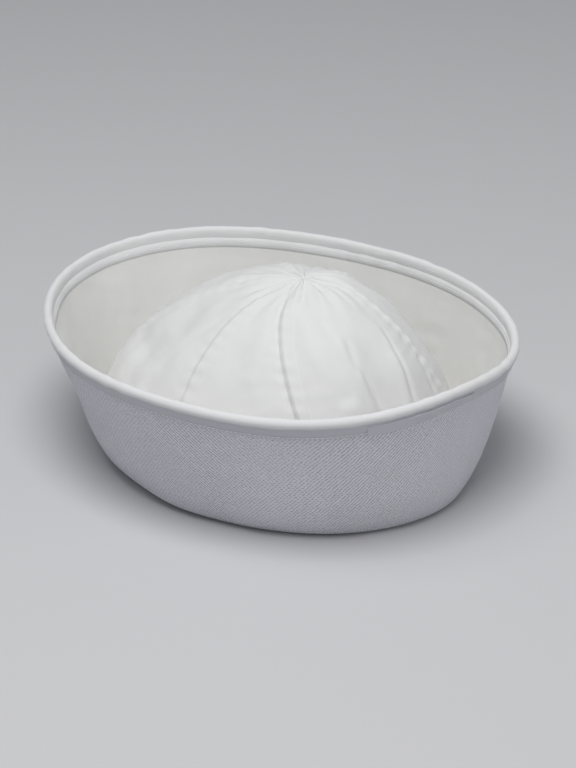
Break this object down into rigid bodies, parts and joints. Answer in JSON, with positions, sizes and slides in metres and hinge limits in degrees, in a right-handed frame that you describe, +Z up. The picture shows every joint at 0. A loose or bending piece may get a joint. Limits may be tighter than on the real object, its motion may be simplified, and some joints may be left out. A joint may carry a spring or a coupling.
{
  "type": "sailor cap",
  "caption": "Soft white cotton sailor cap: a rounded crown of sewn gores inside a tall turned-up brim with a rolled, bound edge",
  "frame": {"origin": "centre of the cap's footprint, on the surface that it rests on", "axes": "+Z up out of the resting face, -Y to the cap's front, +Y to its back where the binding laps, +X to the right seen from the front"},
  "size_m": [0.2337, 0.2768, 0.1052],
  "materials": {
    "crown_twill": "plain white cotton twill, soft and slightly creased",
    "ribbed_twill": "white cotton twill with coarse diagonal ribs",
    "facing_twill": "smooth white cotton facing, faintly warm",
    "binding_tape": "smooth white cotton tape rolled over the edge"
  },
  "bodies": {
    "root": {"crown_gore_1": "crown_twill", "crown_gore_2": "crown_twill", "crown_gore_3": "crown_twill", "crown_gore_4": "crown_twill", "crown_gore_5": "crown_twill", "crown_gore_6": "crown_twill", "brim_outer_ply": "ribbed_twill", "brim_inner_ply": "facing_twill", "edge_binding": "binding_tape"}
  },
  "joints": []
}
